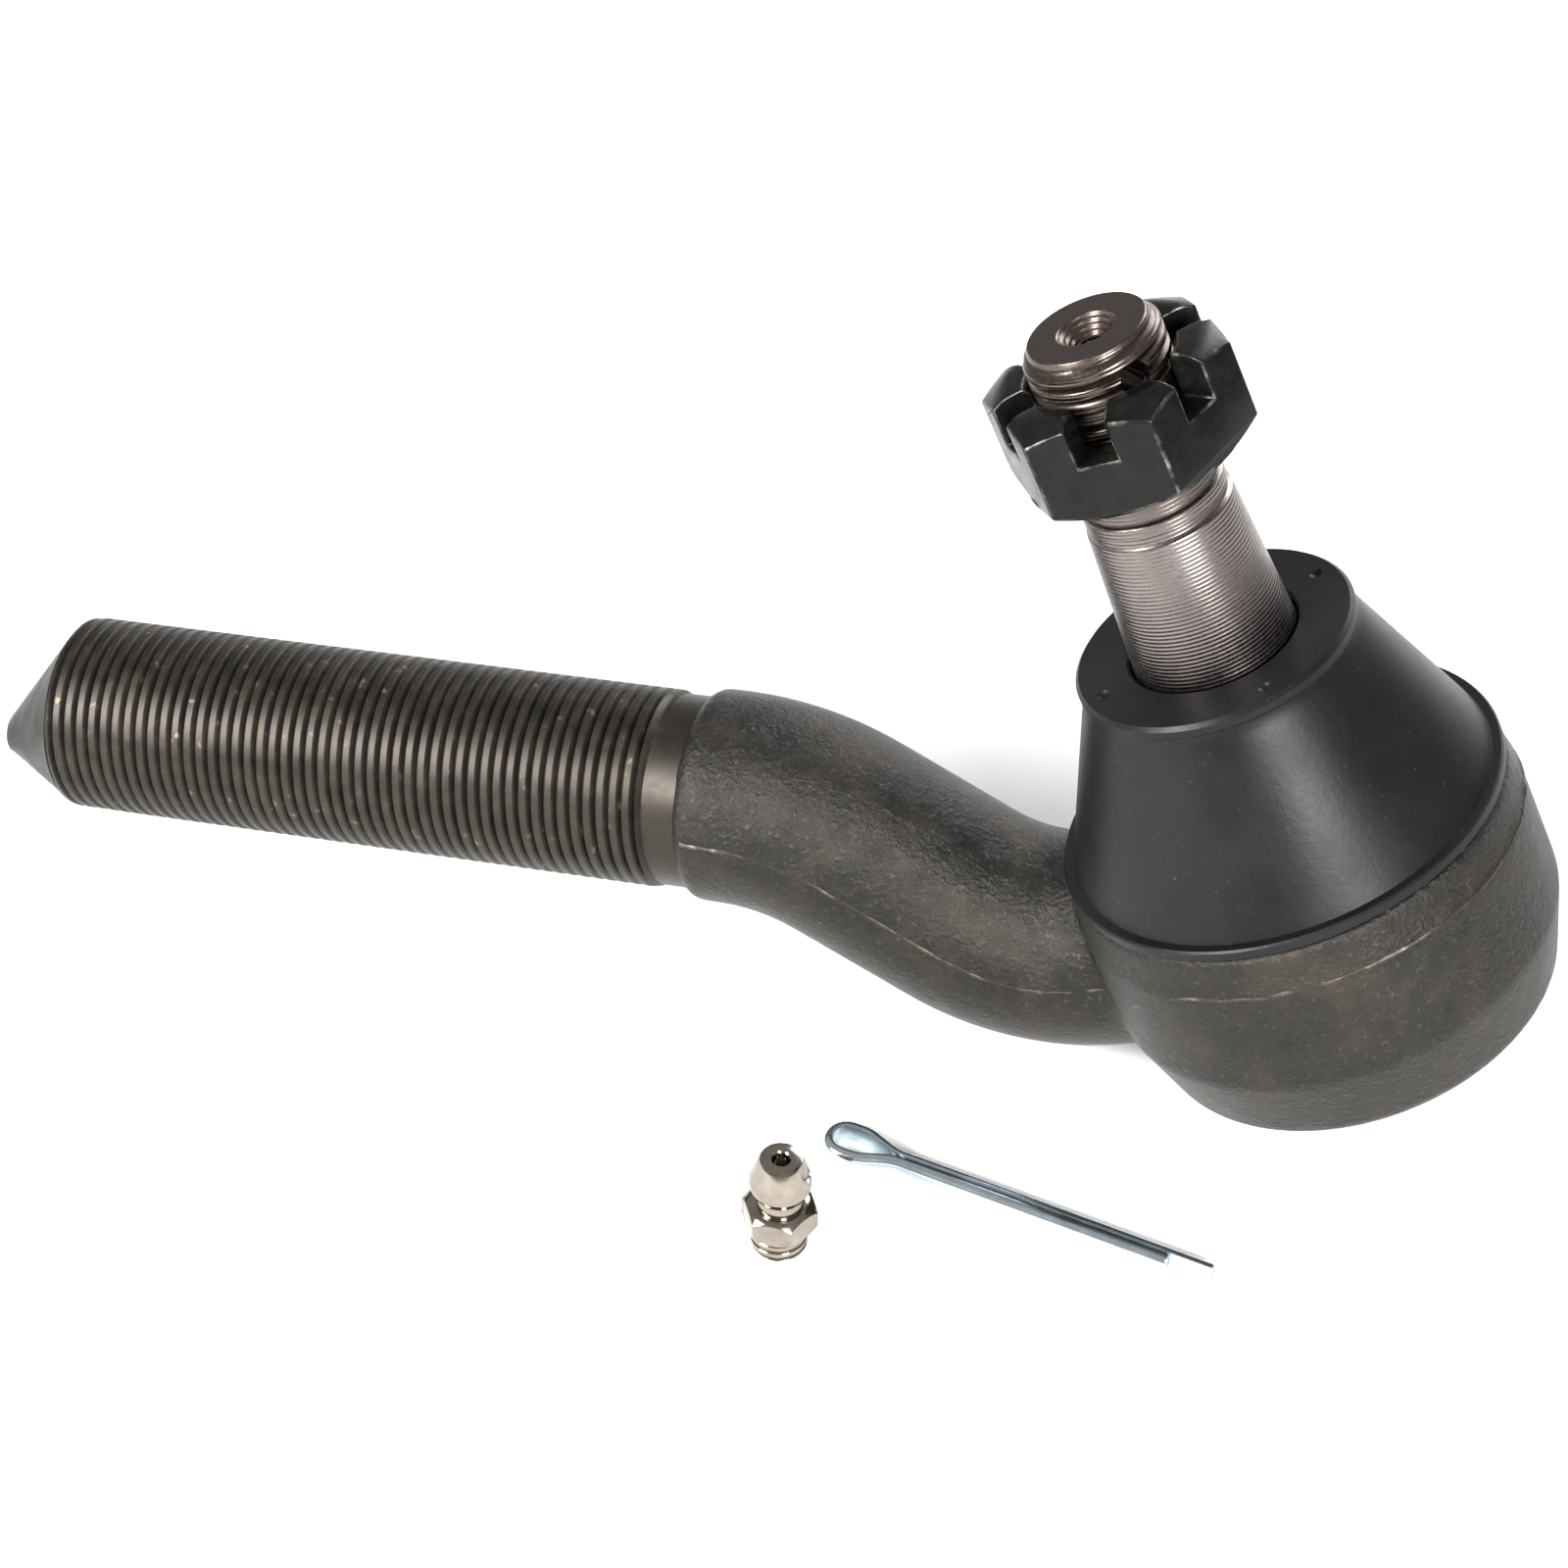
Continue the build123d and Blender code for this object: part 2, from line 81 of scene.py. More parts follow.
if shank_out.dot(stud_up.cross(across)) < 0:
    shank_out = -shank_out


def millimetre_frame(origin, z_axis, y_axis):
    """Matrix from a local frame in millimetres to the row frame in metres."""
    x_axis = y_axis.cross(z_axis).normalized()
    turn = Matrix((x_axis, z_axis.cross(x_axis), z_axis)).transposed()
    return Matrix.Translation(origin) @ turn.to_4x4() @ Matrix.Scale(0.001, 4)


# Socket frame: swing centre at the origin, Z up the stud, the shank towards -X
socket = millimetre_frame(swing_centre, stud_up, across)
to_socket = socket.inverted()
# Shank frame: middle of the thread at the origin, Z out to the free end
shank = millimetre_frame(shank_middle, shank_out, across)
nipple_low, nipple_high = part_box("grease_nipple")
nipple_foot = Vector(((nipple_low.x + nipple_high.x) / 2, (nipple_low.y + nipple_high.y) / 2, 0))


def length(name, size, says):
    """A size in metres, given in millimetres."""
    return bpy.props.FloatProperty(
        name=name, description=says, default=size / 1000, min=0, unit="LENGTH", precision=5)


def turn_of(name, size, says):
    return bpy.props.FloatProperty(name=name, description=says, default=radians(size), subtype="ANGLE")


def tint(name, code, says):
    return bpy.props.FloatVectorProperty(
        name=name, description=says, default=linear(code)[:3], size=3, min=0, max=1, subtype="COLOR")


def linear(code):
    """Linear RGBA of an sRGB hex colour."""
    parts = [int(code[i:i + 2], 16) / 255 for i in (1, 3, 5)]
    return tuple(c / 12.92 if c <= 0.04045 else ((c + 0.055) / 1.055) ** 2.4 for c in parts) + (1.0,)


def mm(size):
    """A stored size in millimetres."""
    return size * 1000


# ------------------------------------------------------------------ settings
class TieRodForgingSettings(bpy.types.PropertyGroup):
    """Sizes of the forged body and its threaded shank"""

    thread_r: length("Shank thread radius", 11.0, "Crest radius of the shank's thread")
    thread_pitch: length("Shank thread pitch", 1.5, "Advance of the shank's thread in one turn")
    thread_length: length("Shank thread length", 72.7, "Length of the shank's threaded stretch")
    collar_r: length("Collar radius", 10.6, "Plain stretch between the thread and the forging")
    collar_length: length("Collar length", 3.5, "Length of that plain stretch")
    point_length: length("Point length", 9.0, "Length of the coned point at the shank's free end")
    point_r: length("Point radius", 2.4, "Radius of the flat on the coned point")
    arm_r: length("Arm radius", 11.7, "Radius of the forged arm")
    shoulder: length("Shoulder", 67.0, "Distance from the stud's axis to the end of the forging")
    shank_drop: length("Shank drop", 1.6, "How far below the swing centre the shank's axis crosses the stud's")
    arm_slope: turn_of("Arm slope", 49.0, "Slope of the arm between its bends, from the socket's face")
    arm_foot: length("Arm foot", 34.2, "Distance from the stud's axis to the corner of the lower bend")
    arm_drop: length("Arm drop", 7.6, "Depth of the arm's axis below the swing centre, at the socket")
    upper_bend: length("Upper bend", 24.0, "Bend radius of the arm next to the shank")
    lower_bend: length("Lower bend", 20.0, "Bend radius of the arm next to the socket")
    voxel: length("Grain", 0.5, "Finest step of the forging's skin")
    scale_tint: tint("Scale colour", "#2f2d2a", "Colour of the forging's oiled scale")


class TieRodStudSettings(bpy.types.PropertyGroup):
    """Sizes of the stud, its nut and the dust boot"""

    thread_r: length("Stud thread radius", 7.0, "Crest radius of the stud's thread")
    thread_pitch: length("Stud thread pitch", 1.5, "Advance of the stud's thread in one turn")
    nut_af: length("Nut across flats", 22.0, "Distance across the castle nut's flats")
    nut_height: length("Nut height", 10.7, "Height of the castle nut with its castellations")
    nut_foot: length("Nut foot", 52.8, "Height of the nut's underside above the swing centre")
    nut_turn: turn_of("Nut turn", -83.9, "Direction of one flat of the nut about the stud")
    slot_width: length("Slot width", 4.0, "Width of the nut's slots")
    slot_depth: length("Slot depth", 4.75, "Depth of the nut's slots")
    hole_r: length("Cross hole radius", 1.6, "Radius of the stud's cross hole")
    hole_up: length("Cross hole height", 63.55, "Height of the cross hole above the swing centre")
    hole_turn: turn_of("Cross hole turn", -42.6, "Direction of the cross hole about the stud")
    steel_tint: tint("Stud steel colour", "#7f7775", "Colour of the turned steel")
    rubber_tint: tint("Boot colour", "#101011", "Colour of the boot's rubber")


class TieRodLooseSettings(bpy.types.PropertyGroup):
    """Sizes of the loose split pin and grease nipple"""

    pin_r: length("Pin radius", 1.15, "Radius of the closed pin")
    pin_gap: length("Pin gap", 0.2, "Gap between the pin's legs")
    pin_long: length("Long leg", 44.0, "Length of the pin over its eye and long leg")
    pin_short: length("Short leg", 39.3, "Length of the pin over its eye and short leg")
    pin_back: bpy.props.FloatVectorProperty(
        name="Pin place", description="Place of the eye on the table, from the swing centre",
        default=(-0.0432, -0.0267), size=2, unit="LENGTH", precision=5)
    pin_turn: turn_of("Pin turn", -7.4, "Direction in which the pin lies on the table")
    nipple_turn: turn_of("Nipple turn", 4.0, "Direction of the nipple's hexagon")
    zinc_tint: tint("Zinc colour", "#d6e3ea", "Colour of the zinc plate")
    nickel_tint: tint("Nickel colour", "#a1988d", "Colour of the nickel plate")


class TieRodStageSettings(bpy.types.PropertyGroup):
    """Place of the camera and strength of the lights"""

    azimuth: turn_of("Azimuth", 16.8815, "Direction of the camera about the part")
    elevation: turn_of("Elevation", 42.7379, "Height of the camera above the table, as an angle")
    roll: turn_of("Roll", 1.4534, "Turn of the camera about its line of sight")
    distance: length("Distance", 376.73, "Distance of the camera from the point it looks at")
    lens: bpy.props.FloatProperty(
        name="Lens", description="Focal length on a 36 mm sensor", default=83.23, unit="CAMERA")
    aim: bpy.props.FloatVectorProperty(
        name="Aim", description="Point that the camera looks at, from the swing centre",
        default=(-0.05333, -0.01144, 0.00488), size=3, unit="LENGTH", precision=5)
    table_tint: tint("Table colour", "#f4f4f2", "Colour of the table")


# ------------------------------------------------------------------ mesh helpers
def chain(bm, points):
    """Edges through a few points, as input for a spin."""
    corners = [bm.verts.new(point) for point in points]
    edges = [bm.edges.new(pair) for pair in zip(corners, corners[1:])]
    return corners + edges


def turned(bm, outline, steps=128):
    """Closed ring or solid turned about Z from an outline of (radius, height) points."""
    closed = outline[0][0] > 0 or outline[-1][0] > 0
    points = outline + outline[:1] if closed else outline
    geom = chain(bm, [(radius, 0, height) for radius, height in points])
    bmesh.ops.spin(
        bm, geom=geom, cent=(0, 0, 0), axis=(0, 0, 1), dvec=(0, 0, 0), angle=2 * pi,
        steps=steps, use_merge=True, use_duplicate=False)
    return bmesh.ops.remove_doubles(bm, verts=bm.verts, dist=1e-4)


def threaded(bm, crest, pitch, depth, low, high, steps=48):
    """Sleeve with rounded helical ridges about Z, whose two ends sink into the core."""
    root = crest - depth
    turns = ceil((high - low) / pitch)
    profile = (
        (0, 0), (0.05, 0.1), (0.14, 0.72), (0.27, 0.98), (0.73, 0.98), (0.86, 0.72), (0.95, 0.1), (1, 0))
    own = bmesh.new()
    geom = chain(own, [(root + depth * rise, 0, low - pitch + pitch * share) for share, rise in profile])
    bmesh.ops.spin(
        own, geom=geom, cent=(0, 0, 0), axis=(0, 0, 1), dvec=(0, 0, pitch / steps),
        angle=2 * pi * (turns + 1), steps=steps * (turns + 1), use_merge=False, use_duplicate=False)
    bmesh.ops.remove_doubles(own, verts=own.verts, dist=1e-3)
    for vert in own.verts:
        radius = vert.co.xy.length
        room = root - 0.3 + max(0, min(vert.co.z - low, high - vert.co.z)) * 1.6
        vert.co.xy *= min(radius, room) / radius
        vert.co.z = min(max(vert.co.z, low), high)
    bmesh.ops.remove_doubles(own, verts=own.verts, dist=1e-3)
    bmesh.ops.bridge_loops(own, edges=[edge for edge in own.edges if edge.is_boundary])
    add_to(bm, own)


def add_to(bm, own):
    """Moves one bmesh's geometry into another."""
    spare = bpy.data.meshes.new("spare")
    bmesh.ops.recalc_face_normals(own, faces=own.faces)
    own.to_mesh(spare)
    own.free()
    bm.from_mesh(spare)
    bpy.data.meshes.remove(spare)


def close_ends(bm):
    """Fills every open edge loop."""
    bmesh.ops.holes_fill(bm, edges=[edge for edge in bm.edges if edge.is_boundary], sides=0)


def prism(sides, radius, depth, matrix):
    """Closed prism or cylinder about the Z axis of a matrix, centred on its origin."""
    bm = bmesh.new()
    bmesh.ops.create_cone(
        bm, cap_ends=True, segments=sides, radius1=radius, radius2=radius, depth=depth, matrix=matrix)
    return bm


def carried(bm, geom, corners, radii, normal, step=1.0):
    """Carries a section along the straight runs and bends of a flat path, and closes both ends."""
    at = corners[0]
    for index in range(1, len(corners)):
        before = (corners[index] - corners[index - 1]).normalized()
        if index == len(corners) - 1:
            start = corners[index]
        else:
            after = (corners[index + 1] - corners[index]).normalized()
            turn = before.angle(after)
            radius = radii[index - 1]
            start = corners[index] - before * radius * tan(turn / 2)
        run = start - at
        steps = max(1, round(run.length / step))
        geom = bmesh.ops.spin(
            bm, geom=geom, cent=(0, 0, 0), axis=normal, dvec=run / steps, angle=0,
            steps=steps, use_merge=False, use_duplicate=False)["geom_last"]
        if index == len(corners) - 1:
            break
        side = 1 if normal.dot(before.cross(after)) > 0 else -1
        centre = start + (normal * side).cross(before) * radius
        geom = bmesh.ops.spin(
            bm, geom=geom, cent=centre, axis=normal * side, dvec=(0, 0, 0), angle=turn,
            steps=max(3, round(radius * turn / step)), use_merge=False, use_duplicate=False)["geom_last"]
        at = corners[index] + after * radius * tan(turn / 2)
    close_ends(bm)


def linked(name, data):
    """New object in the scene."""
    thing = bpy.data.objects.new(name, data)
    bpy.context.scene.collection.objects.link(thing)
    return thing


def deleted(piece):
    """Deletes a piece and its mesh."""
    mesh = piece.data
    bpy.data.objects.remove(piece)
    bpy.data.meshes.remove(mesh)


def piece_from(bm, name, place=None):
    """Object at the origin whose mesh holds the shape in its place."""
    if place is not None:
        bmesh.ops.transform(bm, matrix=place, verts=bm.verts)
    bmesh.ops.recalc_face_normals(bm, faces=bm.faces)
    mesh = bpy.data.meshes.new(name)
    bm.to_mesh(mesh)
    bm.free()
    return linked(name, mesh)


def finished(piece, *modifiers):
    """Adds modifiers given as (type, settings), and makes their result the piece's mesh."""
    for kind, settings in modifiers:
        modifier = piece.modifiers.new(kind.title(), kind)
        for key, setting in settings.items():
            setattr(modifier, key, setting)
    bpy.context.view_layer.update()
    graph = bpy.context.evaluated_depsgraph_get()
    made = bpy.data.meshes.new_from_object(piece.evaluated_get(graph))
    spent, piece.data = piece.data, made
    piece.modifiers.clear()
    bpy.data.meshes.remove(spent)
    made.name = piece.name
    return piece


def cut(piece, tool, operation="DIFFERENCE"):
    """Boolean with a tool piece that isn't kept."""
    finished(piece, ("BOOLEAN", {
        "object": tool, "operation": operation, "solver": "EXACT", "use_self": operation == "DIFFERENCE"}))
    deleted(tool)
    return piece


def shaded(piece, sharp=35):
    """Smooth shading with sharp edges beyond an angle in degrees."""
    piece.data.shade_smooth()
    piece.data.set_sharp_from_angle(angle=radians(sharp))
    return piece


def registered(piece, slot, body=None, replaces=()):
    """Parents a piece to the empty of the body it rides on and hides the nodes it stands for; its material slot is
    not used.
    """
    if body:
        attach(piece, body)
    if replaces:
        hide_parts(*replaces)
    return piece


def dressed(piece, material, *entry):
    """Gives a piece its only material, and registers it."""
    piece.data.materials.clear()
    piece.data.materials.append(material)
    return registered(piece, *entry)


# ------------------------------------------------------------------ material helpers
def result(node):
    """The output of a node that gets linked: a mix's result, or else its first."""
    return node.outputs["Result"] if node.bl_idname == "ShaderNodeMix" else node.outputs[0]


def add(material, kind, **sockets):
    """Adds a shader node. A key is a setting or an input's name, and a node or output as value is linked."""
    tree = material.node_tree
    node = tree.nodes.new("ShaderNode" + kind)
    for key, value in sockets.items():
        if hasattr(node, key):
            setattr(node, key, value)
    for key, value in sockets.items():
        if hasattr(node, key):
            continue
        socket_in = node.inputs[int(key[1:]) if key[1:].isdigit() else key.replace("_", " ")]
        if isinstance(value, bpy.types.Node):
            tree.links.new(result(value), socket_in)
        elif isinstance(value, bpy.types.NodeSocket):
            tree.links.new(value, socket_in)
        else:
            socket_in.default_value = value
    return node


def started(name, place=socket):
    """Material with millimetre coordinates in a piece's own frame, and its shader and output."""
    material = bpy.data.materials.new(name)
    material.use_nodes = True
    material.node_tree.nodes.clear()
    where = add(material, "TexCoord")
    spot, turn, _ = place.decompose()
    mapped = add(
        material, "Mapping", vector_type="TEXTURE", Vector=where.outputs["Object"],
        Location=spot, Rotation=turn.to_euler(), Scale=(0.001, 0.001, 0.001))
    shader = add(material, "BsdfPrincipled")
    add(material, "OutputMaterial", Surface=shader)
    return material, mapped, shader


def wire(material, source, shader, name):
    """Links a node's result to one of the shader's inputs."""
    material.node_tree.links.new(result(source), shader.inputs[name])


def ramp(material, source, stops):
    """Colour ramp over (position, colour) stops."""
    node = add(material, "ValToRGB", Fac=source)
    elements = node.color_ramp.elements
    while len(elements) < len(stops):
        elements.new(0.5)
    for element, (position, colour) in zip(elements, stops):
        element.position = position
        element.color = colour
    return node


def shade(code_or_tint, factor=1.0):
    """Linear RGBA from a hex code or a stored tint, brightened or darkened."""
    colour = linear(code_or_tint) if isinstance(code_or_tint, str) else (*code_or_tint, 1.0)
    return tuple(min(1, c * factor) for c in colour[:3]) + (1.0,)


# ------------------------------------------------------------------ materials
def forged_steel(settings):
    """Forged carbon steel, shot cleaned and oiled: dark grey-brown, with a fine grain that glitters."""
    material, at, shader = started("Forged carbon steel, oiled scale")
    base = settings.scale_tint
    patches = add(material, "TexNoise", Vector=at, Scale=0.12, Detail=6.0, Roughness=0.62)
    grain = add(material, "TexNoise", Vector=at, Scale=1.7, Detail=3.0, Roughness=0.6)
    scars = add(material, "TexNoise", Vector=at, Scale=0.35, Detail=6.0, Roughness=0.75, Distortion=0.8)
    colour = ramp(material, patches, [(0.34, shade(base, 0.82)), (0.5, shade(base)), (0.7, shade("#3c3732"))])
    lift = ramp(material, grain, [(0.58, (0, 0, 0, 1)), (0.8, (0.5, 0.5, 0.5, 1))])
    speckled = add(material, "Mix", data_type="RGBA", Factor=lift, _6=colour, _7=shade("#69645d"))
    wire(material, speckled, shader, "Base Color")
    shader.inputs["Metallic"].default_value = 0.8
    gloss = add(material, "MapRange", Value=patches, From_Min=0.3, From_Max=0.7, To_Min=0.36, To_Max=0.5)
    wire(material, gloss, shader, "Roughness")
    height = add(material, "Math", operation="MULTIPLY_ADD", _0=scars, _1=1.2, _2=grain)
    bump = add(material, "Bump", Strength=0.85, Distance=0.00024, Height=height)
    wire(material, bump, shader, "Normal")
    return material


def sheared_flash():
    """Trimmed flash of a forging: a brighter torn edge of the same steel."""
    material, at, shader = started("Sheared forging flash")
    breaks = add(material, "TexNoise", Vector=at, Scale=0.45, Detail=5.0, Roughness=0.7)
    colour = ramp(
        material, breaks, [(0.46, shade("#36332f")), (0.6, shade("#57524b")), (0.74, shade("#8b847a"))])
    wire(material, colour, shader, "Base Color")
    shader.inputs["Metallic"].default_value = 0.8
    gloss = add(material, "MapRange", Value=breaks, To_Min=0.55, To_Max=0.38)
    wire(material, gloss, shader, "Roughness")
    bump = add(material, "Bump", Strength=0.5, Distance=0.0002, Height=breaks)
    wire(material, bump, shader, "Normal")
    return material


def thread_steel(settings):
    """Rolled and oiled thread steel: dark satin crests with bronze glints, a turned collar, and a point darkened
    with painted shade.
    """
    material, at, shader = started("Rolled thread steel, oiled", shank)
    half = mm(settings.thread_length) / 2
    stains = add(material, "TexNoise", Vector=at, Scale=0.3, Detail=4.0, Roughness=0.65)
    glints = add(material, "TexNoise", Vector=at, Scale=0.6, Detail=2.0, Roughness=0.5)
    colour = ramp(
        material, stains, [(0.35, shade("#312e2a")), (0.55, shade("#3c3833")), (0.72, shade("#48433c"))])
    mask = ramp(material, glints, [(0.69, (0, 0, 0, 1)), (0.77, (0.7, 0.7, 0.7, 1))])
    glint = add(material, "Mix", data_type="RGBA", Factor=mask, _6=colour, _7=shade("#8b7a62"))
    height = add(material, "SeparateXYZ", Vector=at)
    outside = add(material, "Math", operation="ABSOLUTE", _0=height.outputs["Z"])
    plain = add(material, "MapRange", Value=outside, From_Min=half + 0.2, From_Max=half + 0.8)
    turned_grey = add(material, "Mix", data_type="RGBA", Factor=plain, _6=glint, _7=shade("#38342f"))
    # Painted shade: a height mask darkens the coned point towards its end, standing in for the shade on it
    end = add(material, "MapRange", Value=height.outputs["Z"], From_Min=half - 0.8, From_Max=half + 0.2)
    point_painted_dark = add(material, "Mix", data_type="RGBA", Factor=end, _6=turned_grey, _7=shade("#24211e"))
    wire(material, point_painted_dark, shader, "Base Color")
    shader.inputs["Metallic"].default_value = 0.85
    gloss = add(material, "MapRange", Value=stains, From_Min=0.3, From_Max=0.7, To_Min=0.38, To_Max=0.52)
    wire(material, gloss, shader, "Roughness")
    bump = add(material, "Bump", Strength=0.3, Distance=0.00006, Height=stains)
    wire(material, bump, shader, "Normal")
    return material


def stud_steel(settings):
    """Turned alloy steel: warm grey with fine tool rings, browner and darker on the threaded end."""
    material, at, shader = started("Turned alloy steel")
    base = settings.steel_tint
    # Tool rings of 0.15 mm are drawn 0.45 mm apart, so that they show
    rings = add(
        material, "TexWave", Vector=at, wave_type="BANDS", bands_direction="Z",
        Scale=0.7, Distortion=0.5, Detail=2.0, Detail_Scale=1.5)
    stains = add(material, "TexNoise", Vector=at, Scale=0.16, Detail=5.0, Roughness=0.62)
    grit = add(material, "TexNoise", Vector=at, Scale=2.0, Detail=3.0, Roughness=0.7)
    clean = ramp(material, stains, [(0.3, shade("#776f6b")), (0.46, shade(base, 0.94)), (0.66, shade(base))])
    height = add(material, "SeparateXYZ", Vector=at)
    upper = add(material, "MapRange", Value=height.outputs["Z"], From_Min=47.0, From_Max=52.0, To_Max=0.85)
    colour = add(material, "Mix", data_type="RGBA", Factor=upper, _6=clean, _7=shade("#544a43"))
    wire(material, colour, shader, "Base Color")
    shader.inputs["Metallic"].default_value = 1.0
    gloss = add(material, "MapRange", Value=grit, From_Min=0.3, From_Max=0.7, To_Min=0.24, To_Max=0.4)
    wire(material, gloss, shader, "Roughness")
    relief = add(material, "Math", operation="MULTIPLY_ADD", _0=grit, _1=0.15, _2=rings)
    bump = add(material, "Bump", Strength=0.6, Distance=0.00008, Height=relief)
    wire(material, bump, shader, "Normal")
    return material


def rubbed_edge_and_highlight():
    """Black oxide rubbed through along the edges, brightened further with painted highlights: dark steel with
    brighter patches.
    """
    material, at, shader = started("Black oxide rubbed along an edge, with painted highlights")
    rubs_and_highlights = add(material, "TexNoise", Vector=at, Scale=0.5, Detail=4.0, Roughness=0.6)
    # Brighter patches: rubbed-through oxide together with painted edge highlights
    colour = ramp(
        material, rubs_and_highlights, [(0.44, shade("#1a1b1a")), (0.58, shade("#4a4946")), (0.72, shade("#9c9991"))])
    wire(material, colour, shader, "Base Color")
    shader.inputs["Metallic"].default_value = 0.8
    gloss = add(material, "MapRange", Value=rubs_and_highlights, To_Min=0.45, To_Max=0.25)
    wire(material, gloss, shader, "Roughness")
    return material


def black_oxide():
    """Steel with a black oxide bath and oil: near black and satin, with a fine grain."""
    material, at, shader = started("Black oxide on machined steel, oiled")
    marks = add(material, "TexNoise", Vector=at, Scale=0.35, Detail=5.0, Roughness=0.7)
    grit = add(material, "TexNoise", Vector=at, Scale=2.2, Detail=3.0, Roughness=0.7)
    colour = ramp(material, marks, [(0.4, shade("#0c0d0c")), (0.7, shade("#171816"))])
    wire(material, colour, shader, "Base Color")
    shader.inputs["Metallic"].default_value = 0.1
    shader.inputs["Specular IOR Level"].default_value = 0.16
    gloss = add(material, "MapRange", Value=marks, From_Min=0.3, From_Max=0.7, To_Min=0.2, To_Max=0.34)
    wire(material, gloss, shader, "Roughness")
    bump = add(material, "Bump", Strength=0.22, Distance=0.00006, Height=grit)
    wire(material, bump, shader, "Normal")
    return material


def boot_rubber(settings):
    """Compression moulded chloroprene: near-black satin with pale grey dust and short lint."""
    material, at, shader = started("Moulded chloroprene rubber")
    base = settings.rubber_tint
    haze = add(material, "TexNoise", Vector=at, Scale=0.09, Detail=5.0, Roughness=0.6)
    dust = add(material, "TexNoise", Vector=at, Scale=2.0, Detail=3.0, Roughness=0.75)
    colour = ramp(material, haze, [(0.35, shade(base, 0.75)), (0.65, shade(base, 1.3))])
    lint = ramp(material, dust, [(0.66, (0, 0, 0, 1)), (0.76, (0.5, 0.5, 0.5, 1))])
    dusty = add(material, "Mix", data_type="RGBA", Factor=lint, _6=colour, _7=shade("#5f6164"))
    wire(material, dusty, shader, "Base Color")
    gloss = add(material, "MapRange", Value=haze, From_Min=0.3, From_Max=0.7, To_Min=0.34, To_Max=0.46)
    wire(material, gloss, shader, "Roughness")
    shader.inputs["Specular IOR Level"].default_value = 0.22
    grain = add(material, "TexNoise", Vector=at, Scale=1.2, Detail=5.0, Roughness=0.7)
    bump = add(material, "Bump", Strength=0.3, Distance=0.0001, Height=grain)
    wire(material, bump, shader, "Normal")
    return material


def plated(name, place, code, darker, rough):
    """Plated metal: bright and smooth, with a faint cloudiness in its colour and gloss."""
    material, at, shader = started(name, place)
    cloud = add(material, "TexNoise", Vector=at, Scale=0.5, Detail=4.0, Roughness=0.6)
    colour = ramp(material, cloud, [(0.35, shade(code, darker)), (0.65, shade(code))])
    wire(material, colour, shader, "Base Color")
    shader.inputs["Metallic"].default_value = 1.0
    gloss = add(material, "MapRange", Value=cloud, To_Min=rough * 0.8, To_Max=rough * 1.3)
    wire(material, gloss, shader, "Roughness")
    bump = add(material, "Bump", Strength=0.1, Distance=0.00004, Height=cloud)
    wire(material, bump, shader, "Normal")
    return material


def table_paper(code):
    """Seamless background paper: matt and nearly white."""
    material, at, shader = started("Pale seamless paper", Matrix.Scale(0.001, 4))
    fibre = add(material, "TexNoise", Vector=at, Scale=0.8, Detail=3.0)
    colour = ramp(material, fibre, [(0.3, shade(code, 0.98)), (0.7, shade(code))])
    wire(material, colour, shader, "Base Color")
    shader.inputs["Roughness"].default_value = 0.9
    shader.inputs["Specular IOR Level"].default_value = 0.1
    return material


# ------------------------------------------------------------------ operators
class BuildTieRodForging(bpy.types.Operator):
    """Forged arm and socket housing, with the flash line along its sides"""

    bl_idname = "tie_rod.forging"
    bl_label = "Forged body"

    def execute(self, context):
        sizes = context.scene.tie_rod_forging
        steel = forged_steel(sizes)
        normal, corners, radii = arm_path(sizes)
        bm = bmesh.new()
        heading = (corners[1] - corners[0]).normalized()
        end_place = Matrix.Translation(corners[0]) @ heading.to_track_quat("Z", "Y").to_matrix().to_4x4()
        ring = bmesh.ops.create_circle(
            bm, cap_ends=False, radius=mm(sizes.arm_r), segments=64, matrix=end_place)
        loop = ring["verts"] + list(bm.edges)
        carried(bm, loop, corners, radii, normal)
        shoulder_rounding = 0.925
        for vert in ring["verts"]:
            vert.co = corners[0].lerp(vert.co, shoulder_rounding)
        housing = bmesh.new()
        # Outside from the rolled lip up to the boot's seat, then the mouth, the bore and the lip's groove
        turned(housing, [
            (15.05, -19.0), (20.5, -19.0), (21.7, -17.8), (24.2, -9.5), (24.1, 2.9), (23.9, 3.4),
            (23.4, 7.4), (13.2, 7.4), (11.3, 5.4), (15.05, 5.4), (15.05, -15.4), (16.85, -15.4),
            (16.85, -17.6), (15.05, -17.6),
        ], steps=160)
        add_to(bm, housing)
        body = piece_from(bm, "forged_body", socket)
        finished(
            body,
            ("REMESH", {"mode": "VOXEL", "voxel_size": sizes.voxel, "use_smooth_shade": True}),
            ("SMOOTH", {"factor": 0.5, "iterations": 6}),
        )
        dressed(shaded(body, 60), steel, "forged_steel", "root", ["tie_rod_body"])
        flash = piece_from(flash_line(sizes, normal, corners, radii), "flash_line", socket)
        dressed(shaded(flash, 60), sheared_flash(), "forged_steel", "root")
        return {"FINISHED"}


